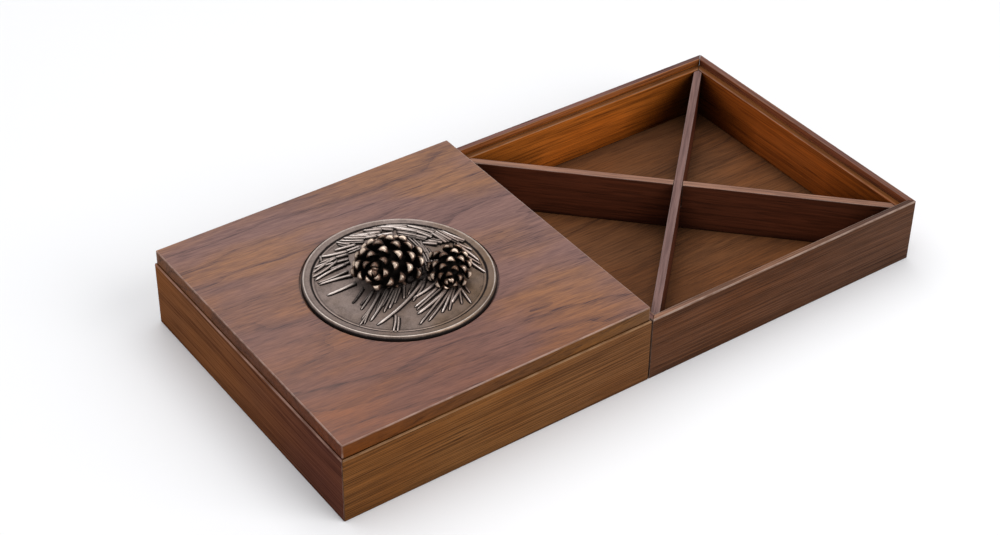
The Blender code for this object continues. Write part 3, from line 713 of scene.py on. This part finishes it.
needleSettings = {
    "rootRadius": 0.00088, "tipRadius": 0.00062,
    "rootRise": 0.00085, "tipRise": 0.00025,  # needle axis above the field
    "blunt": (0.92, 0.084, 0.1),  # share of the length where the end closes, over how much, least
    "stations": 12, "around": 8,
    "bedSide": 0.00055, "bedRise": 0.00012,  # painted shadow: a dark bed of patina beside each needle
    "furthest": 0.955,  # share of the field's radius that tips stay inside
    # needles whose tips lie past this x and y get a shorter, thinner neighbour
    "crowded": (-0.3, 0.15), "apart": 0.036, "jitter": 0.012, "shorter": 0.05,
    "neighbour": (0.7, 0.55), "seed": 7,
    # Crests that face up are worn and carry a painted highlight.
    "leastWear": 0.06, "crestPower": 1.5, "rootDullness": 0.45, "endWear": 0.1,
    "shares": (
        (-0.46, 0.155, -0.83, 0.155, 0.01, 1.15, 0.9), (-0.42, 0.29, -0.8, 0.365, -0.03, 1.1, 0.8),
        (-0.42, 0.385, -0.8, 0.398, 0.02, 1, 0.6), (-0.38, 0.5, -0.8, 0.455, -0.03, 1.1, 0.85),
        (-0.42, 0.605, -0.8, 0.52, 0.04, 1.1, 0.6), (-0.48, 0.665, -0.79, 0.615, 0.02, 1, 0.6),
        (-0.4, 0.66, -0.75, 0.7, 0.02, 1.1, 0.7), (-0.57, 0.7, -0.545, 0.83, 0, 1, 0.8),
        (-0.24, 0.69, -0.53, 0.785, 0.03, 1.2, 0.9), (-0.26, 0.64, -0.6, 0.695, -0.03, 1.1, 0.6),
        (-0.3, 0.56, -0.58, 0.63, 0, 1.1, 0.6), (-0.32, 0.505, -0.56, 0.535, 0, 1, 0.5),
        (-0.1, 0.745, -0.34, 0.8, 0, 1.2, 0.9), (-0.08, 0.69, -0.28, 0.718, 0, 1.1, 0.8),
        (-0.15, 0.78, -0.25, 0.935, 0, 1, 0.9), (0.02, 0.76, -0.2, 0.925, 0.02, 1, 0.9),
        (0.06, 0.79, -0.14, 0.95, 0.02, 1, 0.9), (0.12, 0.79, -0.06, 0.94, -0.02, 1.1, 1),
        (0.26, 0.79, 0, 0.905, 0.03, 1.2, 1), (0.18, 0.75, -0.02, 0.85, 0.02, 1.1, 0.9),
        (0.36, 0.69, 0.19, 0.765, 0, 1.3, 1), (0.3, 0.82, 0.12, 0.935, 0, 1.1, 0.8),
        (0.4, 0.74, 0.22, 0.92, 0, 1.1, 0.7), (0.68, 0.38, 0.3, 0.925, -0.08, 1.2, 1),
        (0.56, 0.7, 0.38, 0.88, -0.02, 1, 0.9), (0.75, 0.44, 0.56, 0.8, -0.02, 1.1, 0.9),
        (0.76, 0.21, 0.7, 0.61, -0.02, 1.1, 0.9), (0.83, 0.21, 0.77, 0.54, 0, 1.2, 0.8),
        (0.95, 0.12, 0.85, 0.44, 0.02, 1.2, 1), (0.89, 0.14, 0.82, 0.48, 0, 1, 0.7),
        (0.62, 0.39, 0.49, 0.59, -0.04, 1.5, 0.6), (0.56, 0.5, 0.42, 0.7, 0, 1.2, 0.6),
        (0.6, 0.56, 0.44, 0.76, -0.02, 1, 0.6), (0.66, 0.24, 0.54, 0.37, 0, 1.2, 0.8),
        (0.72, 0.23, 0.62, 0.38, 0, 1.1, 0.7), (0.8, 0.03, 0.89, 0.16, 0, 1.1, 0.8),
        (0.84, 0.06, 0.88, -0.26, 0.02, 1.3, 0.9), (0.86, 0.1, 0.93, -0.06, 0, 1.1, 0.8),
        (0.78, -0.2, 0.82, -0.48, -0.02, 1.1, 0.9), (0.8, -0.08, 0.86, -0.33, 0, 0.9, 0.5),
        (-0.44, 0.04, -0.675, -0.115, 0.03, 0.7, 0.15),
        (-0.4, -0.08, -0.66, -0.26, 0.02, 0.8, 0.45), (-0.36, -0.05, -0.62, -0.19, 0, 0.7, 0.2),
        (-0.36, -0.15, -0.74, -0.4, 0.03, 0.9, 0.5), (-0.34, -0.12, -0.82, -0.48, 0.03, 0.9, 0.55),
        (-0.4, -0.18, -0.76, -0.485, -0.02, 0.8, 0.5), (-0.26, -0.16, -0.68, -0.48, 0.03, 1, 0.8),
        (-0.2, -0.2, -0.48, -0.435, 0, 0.9, 0.5), (-0.16, -0.19, -0.4, -0.415, 0.02, 1, 0.75),
        (-0.12, -0.2, -0.3, -0.37, 0, 0.8, 0.4), (-0.06, -0.18, -0.175, -0.36, 0, 0.9, 0.6),
        (-0.24, -0.12, -0.56, -0.4, -0.02, 0.7, 0.3), (-0.18, -0.14, -0.44, -0.34, 0.02, 0.7, 0.3),
        (0.14, -0.24, -0.66, -0.58, 0.045, 1.3, 0.9), (0.14, -0.28, -0.12, -0.45, 0.02, 0.8, 0.4),
        (0.06, -0.2, -0.1, -0.33, 0, 0.8, 0.4), (-0.41, -0.56, -0.6, -0.8, 0.03, 1, 0.8),
        (-0.4, -0.6, -0.555, -0.815, 0.02, 0.9, 0.7), (0.28, -0.33, -0.09, -0.41, 0.03, 1.1, 0.8),
        (0.28, -0.39, -0.16, -0.55, 0.02, 1.1, 0.85), (0.28, -0.44, -0.17, -0.6, 0, 0.9, 0.4),
        (0.32, -0.48, -0.2, -0.665, 0.03, 1.3, 0.85), (0.28, -0.51, -0.28, -0.825, 0, 0.9, 0.7),
        (0.34, -0.51, -0.17, -0.83, 0.02, 0.9, 0.7), (0.34, -0.52, 0.03, -0.79, 0.02, 1.1, 0.85),
        (0.36, -0.54, 0.115, -0.805, 0, 0.9, 0.7), (0.42, -0.57, 0.205, -0.715, 0, 1.4, 0.8),
        (0.42, -0.54, 0.29, -0.79, 0, 0.8, 0.5), (0.44, -0.48, 0.38, -0.835, 0, 1, 0.85),
        (0.5, -0.48, 0.47, -0.68, 0, 0.8, 0.4), (0.42, 0.04, 0.5, 0.48, -0.06, 0.9, 0.7),
        (0.38, 0.02, 0.47, 0.56, -0.06, 0.8, 0.6), (0.47, 0.18, 0.56, 0.42, 0.04, 1.1, 0.5),
        (0.4, -0.06, 0.52, 0.3, -0.04, 0.9, 0.55), (0.34, -0.1, 0.48, 0.2, -0.03, 0.9, 0.4),
        (0.3, -0.12, 0.42, 0.16, 0, 0.9, 0.3), (0.02, -0.12, 0.3, -0.24, 0.05, 2.4, 0.03),
        (0.1, -0.12, 0.3, -0.12, 0.02, 2.2, 0.03), (0.24, -0.16, 0.06, -0.33, 0.03, 1.6, 0.1),
        (0.1, -0.18, -0.06, -0.3, 0.02, 1.3, 0.15),
    ),
}


def needleAxes(shares, settings):
    # A parabola through root, bent middle and tip; gives the axis points, its side direction and
    # the radius, which narrows slowly and closes on a blunt end.
    root, tip = shares[:, 0:2] * fieldRadius, shares[:, 2:4] * fieldRadius
    bend, width = shares[:, 4], shares[:, 5]
    run = tip - root
    square = np.stack((-run[:, 1], run[:, 0]), -1)
    t = np.linspace(0, 1, settings["stations"])[None, :, None]
    bow = square[:, None] * bend[:, None, None] * 4
    flat = root[:, None] + run[:, None] * t + bow * t * (1 - t)
    slope = unit(run[:, None] + bow * (1 - 2 * t))
    t = t[..., 0]
    rise = settings["rootRise"] * (1 - t) + settings["tipRise"] * t
    radius = (settings["rootRadius"] * (1 - t) + settings["tipRadius"] * t) * width[:, None]
    radius = radius * blunted(t, settings["blunt"])
    axis = np.concatenate((flat, (fieldTop + rise + 0 * flat[..., 0])[..., None]), -1)
    axis[..., :2] += plateCentre[:2]
    return axis, np.stack((-slope[..., 1], slope[..., 0], 0 * slope[..., 0]), -1), radius


def makeNeedles(settings):
    # Round each axis runs a circle, and under it a flat dark ellipse a little wider, a painted
    # shadow. Crests are worn and carry a painted highlight, and flanks keep their patina.
    random = np.random.default_rng(settings["seed"])
    shares = np.array(settings["shares"], float)
    crowded = shares[(shares[:, 2:4] > settings["crowded"]).all(axis=1)]
    run = unit(crowded[:, 2:4] - crowded[:, 0:2])
    side = np.where(random.random((len(run), 1)) > 0.5, 1, -1)
    shift = np.stack((-run[:, 1], run[:, 0]), -1) * settings["apart"] * side
    near = crowded + settings["jitter"] * (random.random(crowded.shape) - 0.5)
    near[:, 0:2] += shift
    near[:, 2:4] += shift - run * settings["shorter"] * random.random((len(run), 1))
    near[:, 5:] *= settings["neighbour"]
    shares = np.concatenate((shares, near))
    far = np.linalg.norm(shares[:, 2:4], axis=1, keepdims=True)
    shares[:, 2:4] *= np.minimum(1, settings["furthest"] / far)
    axis, side, radius = needleAxes(shares, settings)
    angle = fullTurn(settings["around"])
    sideways = np.cos(angle)[:, None] * side[:, :, None, :]
    upwards = np.sin(angle)[:, None] * upward
    needles = axis[:, :, None, :] + (sideways + upwards) * radius[..., None, None]
    ground = axis.copy()
    ground[..., 2] = fieldTop
    wide = (radius + settings["bedSide"])[..., None, None]
    shadowBeds = ground[:, :, None, :] + sideways * wide + upwards * settings["bedRise"]
    points, faces = closedTubes(np.concatenate((needles, shadowBeds)),
                                np.concatenate((axis[:, [0, -1]], ground[:, [0, -1]])))
    # Upper crests: wear and a painted highlight.
    crest = np.clip(np.sin(angle), 0, 1) ** settings["crestPower"]
    t = np.linspace(0, 1, settings["stations"])[None, :, None]
    least = settings["leastWear"]
    worn = crest * shares[:, 6, None, None] * (1 - settings["rootDullness"] * (1 - t) ** 2)
    worn = (least + (1 - least) * worn).reshape(len(shares), -1)
    worn = np.concatenate((worn, np.full((len(shares), 2), settings["endWear"])), 1).ravel()
    makePiece("pineNeedles", points, faces, np.concatenate((worn, 0 * worn)), "needleBronze")


makeNeedles(needleSettings)
print("needles laid")


# Pine cones: an ovoid core with cupped scales along a golden-angle spiral

coneSettings = {
    "large": {
        "node": "large_pine_cone", "radius": 0.0118, "halfLength": 0.0179, "axisHeight": 0.0018,
        "place": (-0.0027, 0.0055), "heading": 212, "tilt": 32, "scales": 62,
        "scaleLength": 0.0148, "scaleWidth": 0.0066, "scaleThickness": 0.0034,
        "footRadius": 0.014, "footHeight": 0.0028, "seed": 3,
    },
    "small": {
        "node": "small_pine_cone", "radius": 0.0074, "halfLength": 0.0138, "axisHeight": 0.0032,
        "bearing": -33.8, "heading": 238, "tilt": 13, "scales": 46,
        "scaleLength": 0.0099, "scaleWidth": 0.0054, "scaleThickness": 0.0026,
        "footRadius": 0.0085, "footHeight": 0.0026, "seed": 5,
    },
    "gap": 0.0004,  # metres between the cones
    "underside": 0.0016,  # metres from the field up to the lowest scale
    "goldenAngle": 137.508,
    "lift": 55,  # degrees between a scale and the core's surface
    "spreadShare": 0.8,  # part of the way from the tip to the stem that bears scales
    "taperShare": 0.66, "taperRate": 3,  # size of the scales at the tip, and how soon it is full
    "seatShare": 0.24,  # part of a scale inside the core
    "keepShare": 0.45,  # part of a scale that has to clear the plate
    # one scale
    "stations": 20, "around": 16,
    "crowding": 1.35,  # above 1, stations lie closer towards the end
    # along, half width, half thickness as shares of a scale's sizes
    "sections": ((0, 0.17, 0.4), (0.42, 0.33, 0.26), (0.78, 0.5, 0.36), (0.93, 0.44, 0.5),
                 (1, 0.24, 0.36)),
    "blunt": (0.9, 0.115, 0.05),  # where the end closes, over how much, least
    "bluntFrom": 0.93, "bluntWidth": 0.6, "bluntThickness": 0.7,
    "pole": 1.012,  # length to the point that closes the end
    "cupShare": 0.3, "curlShare": 0.2,
    # wear and painted highlight: along the scale, across its lip (height, half width, least), and a
    # painted highlight on its upper side
    "wearAlong": ((0, 0.66, 0.82, 0.91, 1), (0, 0.04, 0.34, 0.92, 1.02)),
    "lip": (1.14, 0.46, 0.2), "upperWear": 0.12, "poleWear": (0, 0.9),
    "bright": (0.66, 0.42),  # least wear of a scale, and what chance adds
    # core: how far its rings go from stem to tip, how many, and points on each
    "core": (0.98, 0.02, 24, 40), "coreWear": 0.02,
    # foot: shares of its radius and height, wear between the ribs and on them
    "foot": ((1, 0.06, 1), (1, 0.2, 1), (0.93, 0.42, 1), (0.84, 0.68, 1), (0.72, 0.9, 0.5),
             (0.5, 1, 0)),
    "ribs": 17, "perRib": 8, "ribDepth": 0.1, "ribRise": 0.22, "footBase": 0.1,
    "footWear": (0.04, 0.34),
}


def coneStance(cone):
    # Tips the cone's own Z by 90 degrees less the tilt about Y, then turns it to its heading.
    lean, head = math.radians(90 - cone["tilt"]), math.radians(cone["heading"])
    leaning = np.array(((math.cos(lean), 0, math.sin(lean)), (0, 1, 0),
                        (-math.sin(lean), 0, math.cos(lean))))
    turning = np.array(((math.cos(head), -math.sin(head), 0), (math.sin(head), math.cos(head), 0),
                        (0, 0, 1)))
    return turning @ leaning


def scaleForm(cone, shared):
    # One scale along X. Its half width and half thickness follow a smooth curve through the
    # sections and close on a blunt point; its sides rise as a parabola, and so does its end.
    u = 1 - (1 - np.linspace(0, 1, shared["stations"])) ** shared["crowding"]
    keys = np.array(shared["sections"])
    blunt = np.where(u > shared["bluntFrom"], 1 - blunted(u, shared["blunt"]), 0)
    halfWidth = smoothThrough(u, keys[:, 0], keys[:, 1]) * (1 - shared["bluntWidth"] * blunt)
    halfThick = smoothThrough(u, keys[:, 0], keys[:, 2]) * (1 - shared["bluntThickness"] * blunt)
    angle = fullTurn(shared["around"])
    side = np.cos(angle)[None, :] * halfWidth[:, None]
    cup = shared["cupShare"] * cone["scaleWidth"] * (side * 2) ** 2
    curl = shared["curlShare"] * cone["scaleLength"] * u[:, None] ** 2
    face = np.sin(angle)[None, :] * halfThick[:, None] * cone["scaleThickness"]
    points = np.stack((u[:, None] * cone["scaleLength"] + 0 * side, side * cone["scaleWidth"],
                       face + cup + curl), -1)
    ends = np.array(((0, 0, 0), (shared["pole"], 0, shared["curlShare"]))) * cone["scaleLength"]
    height, half, least = shared["lip"]
    lip = np.clip(height - (np.abs(side) / half) ** 2, least, 1)
    # Painted highlight on the upper side.
    upper = 1 - shared["upperWear"] + shared["upperWear"] * np.sin(angle)
    worn = smoothThrough(u, *shared["wearAlong"])[:, None] * lip * upper[None, :]
    return points, ends, worn


def coneScales(cone, shared):
    # Scale number i sits at i golden angles round the core, and the cosine of its angle from the
    # tip falls in equal steps; it leans out of the core's surface and towards the tip.
    stance = coneStance(cone)
    grown = (np.arange(cone["scales"]) + 0.5) / cone["scales"]
    polar = np.arccos(1 - grown * (1 - math.cos(math.pi * shared["spreadShare"])))
    around = np.arange(cone["scales"]) * math.radians(shared["goldenAngle"])
    spoke = np.stack((np.cos(around), np.sin(around), 0 * around), -1)
    seat = (spoke * (cone["radius"] * np.sin(polar))[:, None]
            + upward * (cone["halfLength"] * np.cos(polar))[:, None])
    outward = unit(spoke * (np.sin(polar) / cone["radius"])[:, None]
                   + upward * (np.cos(polar) / cone["halfLength"])[:, None])
    across = np.cross(upward, spoke)
    tipward = np.cross(outward, across)
    tipward *= np.where(tipward[:, 2:] < 0, -1, 1)
    lift = math.radians(shared["lift"])
    along = outward * math.sin(lift) + tipward * math.cos(lift)
    least = shared["taperShare"]
    size = least + (1 - least) * np.minimum(1, grown * shared["taperRate"])
    length = (cone["scaleLength"] * size)[:, None]
    root = seat - along * length * shared["seatShare"]
    middle = root + along * length * shared["keepShare"]
    lowest = shared["underside"] - cone["axisHeight"]
    kept = (middle @ stance.T)[:, 2] >= lowest
    basis = np.stack((along, across, np.cross(along, across)), 1)
    form, ends, worn = scaleForm(cone, shared)

    def placed(local):
        # Turns and scales the form onto every kept scale and keeps it off the plate.
        spread = np.einsum("...k,nkj->n...j", local, basis[kept] * size[kept, None, None])
        lead = (slice(None),) + (None,) * (local.ndim - 1)
        world = (spread + root[kept][lead]) @ stance.T
        world[..., 2] = np.maximum(world[..., 2], lowest)
        return world

    return placed(form), placed(ends), worn


def makeCone(name, cone, place, shared):
    # Scales, an ovoid core of rings from stem to tip, and under them a low mound whose radius and
    # height follow a cosine round it, in ribs.
    stance = coneStance(cone)
    centre = np.array((*(plateCentre[:2] + place), fieldTop + cone["axisHeight"]))
    tubes, ends, worn = coneScales(cone, shared)
    points, faces = closedTubes(tubes + centre, ends + centre)
    random = np.random.default_rng(cone["seed"])
    bright = shared["bright"][0] + shared["bright"][1] * random.random(len(tubes))
    rub = np.concatenate((worn.reshape(-1), shared["poleWear"]))[None, :] * bright[:, None]
    stem, tip, rings, around = shared["core"]
    polar = np.linspace(math.pi * stem, math.pi * tip, rings)
    core, poles = spun(fullTurn(around), cone["radius"] * np.sin(polar)[:, None],
                       cone["halfLength"] * np.cos(polar)[:, None],
                       (-cone["halfLength"], cone["halfLength"]))
    corePoints, coreFaces = closedTubes(core @ stance.T + centre, poles @ stance.T + centre)
    corePoints[:, 2] = np.maximum(corePoints[:, 2], fieldTop + shared["underside"])
    foot = np.array(shared["foot"])
    turn = fullTurn(shared["ribs"] * shared["perRib"])
    rib = np.cos(turn * shared["ribs"]) * 0.5 + 0.5
    reach = foot[:, 0, None] * cone["footRadius"] * (1 - shared["ribDepth"] * (1 - rib))
    rise = foot[:, 1, None] * cone["footHeight"] * (1 - shared["ribRise"] * (1 - rib))
    mound, poles = spun(turn, reach, rise, np.array((shared["footBase"], 1)) * cone["footHeight"])
    low = centre - (0, 0, cone["axisHeight"])
    footPoints, footFaces = closedTubes(mound + low, poles + low)
    allPoints = np.concatenate((points, corePoints, footPoints))
    allFaces = faces + [[i + len(points) for i in f] for f in coreFaces]
    allFaces += [[i + len(points) + len(corePoints) for i in f] for f in footFaces]
    between, onRibs = shared["footWear"]
    ribRub = np.append(between + onRibs * foot[:, 2, None] * rib ** 2, (0.0, 0.0))
    coreRub = np.full(len(corePoints), shared["coreWear"])
    piece = makePiece(name, allPoints, allFaces, np.concatenate((rub.ravel(), coreRub, ribRub)),
                      "coneBronze")
    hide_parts(cone["node"])


largeCone, smallCone = coneSettings["large"], coneSettings["small"]
bearing = math.radians(smallCone["bearing"])
towards = np.array((math.cos(bearing), math.sin(bearing)))
apart = ((coneScales(largeCone, coneSettings)[0][..., :2] @ towards).max()
         - (coneScales(smallCone, coneSettings)[0][..., :2] @ towards).min() + coneSettings["gap"])
smallPlace = np.array(largeCone["place"]) + towards * apart
print("cones apart:", round(apart * 1000, 2), "mm")
makeCone("largePineCone", largeCone, largeCone["place"], coneSettings)
makeCone("smallPineCone", smallCone, smallPlace, coneSettings)
print("cones grown")


# Floor and light

studioSettings = {
    "floorSize": 9, "floorLevel": -0.0001,
    "floorColour": (0.86, 0.86, 0.87), "floorShade": 0.985,  # of the colour, in faint clouds
    "floorClouds": ((3, 3, 3), 3, 0.5),
    "cloudRange": (0.3, 0.7, 0, 0.35),
    "floorRoughness": 0.8,
    "skyColour": (0.97, 0.98, 1), "skyStrength": 0.45,
    # place, size, power in watts
    "lamps": {
        "keySoftbox": ((0.75, -1.55, 1.35), 1.5, 26),
        "topSoftbox": ((-0.1, 0.5, 1.9), 2.2, 26),
        "leftFill": ((-1.7, 0.2, 0.9), 1.3, 2),
    },
}


def makeStudio(settings):
    half = settings["floorSize"] / 2
    mesh = bpy.data.meshes.new("studioFloor")
    corners = ((-half, -half), (half, -half), (half, half), (-half, half))
    mesh.from_pydata([(*corner, settings["floorLevel"]) for corner in corners], [], [(0, 1, 2, 3)])
    floor = addObject("studioFloor", mesh)
    paper, tree, shader = newMaterial("floorPaper")
    place = add(tree, "TexCoord").outputs["Object"]
    cloud = ranged(tree, noise(tree, place, *settings["floorClouds"]), *settings["cloudRange"])
    colour = settings["floorColour"]
    shade = [settings["floorShade"] * c for c in colour]
    feedAll(tree, shader.inputs, {"Base Color": mixed(tree, cloud, (*colour, 1), (*shade, 1)),
                                  "Roughness": settings["floorRoughness"]})
    mesh.materials.append(paper)
    for name, (place, size, power) in settings["lamps"].items():
        data = bpy.data.lights.new(name, "AREA")
        data.size = size
        data.energy = power
        back = np.array(place) / np.linalg.norm(place)
        aim(addObject(name, data), place, back, unit(np.cross(upward, back)))
    world = bpy.data.worlds.new("studioSky")
    world.use_nodes = True
    sky = world.node_tree.nodes["Background"].inputs
    feedAll(world.node_tree, sky, {"Color": (*settings["skyColour"], 1),
                                   "Strength": settings["skyStrength"]})
    scene.world = world
    scene.view_settings.view_transform = "Standard"


makeStudio(studioSettings)
print("studio lit")
